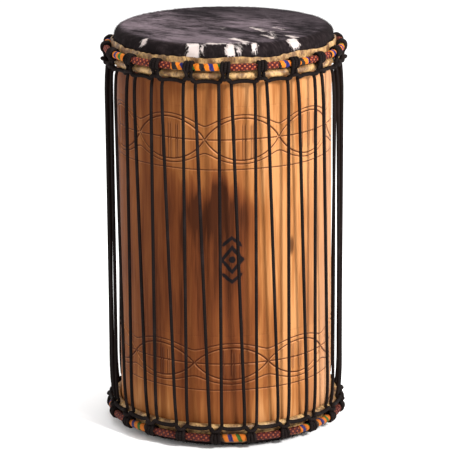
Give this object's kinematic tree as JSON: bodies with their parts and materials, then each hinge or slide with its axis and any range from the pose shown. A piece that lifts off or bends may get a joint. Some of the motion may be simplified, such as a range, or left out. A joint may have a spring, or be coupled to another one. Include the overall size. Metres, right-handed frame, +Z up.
{
  "type": "rope-tuned double-headed drum",
  "caption": "Upright cylindrical wooden drum with a haired cowhide on each end, laced from end to end with black rope over cloth-wound hoops.",
  "frame": {"origin": "middle of the bottom hide's flat face, which the drum stands on", "axes": "+Z up the shell's axis, -Y the side with the burnt motif"},
  "size_m": [0.3431, 0.3435, 0.565],
  "materials": {
    "carved_wood": "oiled hardwood, red heartwood running into orange sapwood",
    "black_haired_hide": "short black cow hair with a few white patches, bare rawhide on the flesh side",
    "bare_steel": "plain bent rod",
    "red_print_cloth": "printed cotton, dark red with small dots",
    "orange_print_cloth": "printed cotton, orange with blue, green and black stripes",
    "black_rope": "braided polyester cord"
  },
  "bodies": {
    "root": {"shell": "carved_wood", "top_head": "black_haired_hide", "bottom_head": "black_haired_hide", "tension_rope": "black_rope"},
    "top_hoops": {"top_flesh_hoop": "bare_steel", "top_crown_hoop": "bare_steel", "top_loop_rope": "black_rope", "top_cloth_01": "red_print_cloth", "top_cloth_02": "orange_print_cloth", "top_cloth_03": "red_print_cloth", "top_cloth_04": "orange_print_cloth", "top_cloth_05": "red_print_cloth", "top_cloth_06": "orange_print_cloth", "top_cloth_07": "red_print_cloth", "top_cloth_08": "orange_print_cloth", "top_cloth_09": "red_print_cloth", "top_cloth_10": "orange_print_cloth", "top_cloth_11": "red_print_cloth", "top_cloth_12": "orange_print_cloth", "top_cloth_13": "red_print_cloth", "top_cloth_14": "orange_print_cloth"},
    "bottom_hoops": {"bottom_flesh_hoop": "bare_steel", "bottom_crown_hoop": "bare_steel", "bottom_loop_rope": "black_rope", "bottom_cloth_01": "orange_print_cloth", "bottom_cloth_02": "red_print_cloth", "bottom_cloth_03": "orange_print_cloth", "bottom_cloth_04": "red_print_cloth", "bottom_cloth_05": "orange_print_cloth", "bottom_cloth_06": "red_print_cloth", "bottom_cloth_07": "orange_print_cloth", "bottom_cloth_08": "red_print_cloth", "bottom_cloth_09": "orange_print_cloth", "bottom_cloth_10": "red_print_cloth", "bottom_cloth_11": "orange_print_cloth", "bottom_cloth_12": "red_print_cloth", "bottom_cloth_13": "orange_print_cloth", "bottom_cloth_14": "red_print_cloth"}
  },
  "joints": [
    {"name": "top_hoops_draw", "type": "slide", "parent": "root", "child": "top_hoops", "axis": [0, 0, -1], "range_m": [0, 0.008], "deforming": ["top_head", "tension_rope"]},
    {"name": "bottom_hoops_draw", "type": "slide", "parent": "root", "child": "bottom_hoops", "axis": [0, 0, 1], "range_m": [0, 0.008], "deforming": ["bottom_head"]}
  ],
  "couplings": [
    {"joint": "bottom_hoops_draw", "follows": "top_hoops_draw", "ratio": 1}
  ]
}
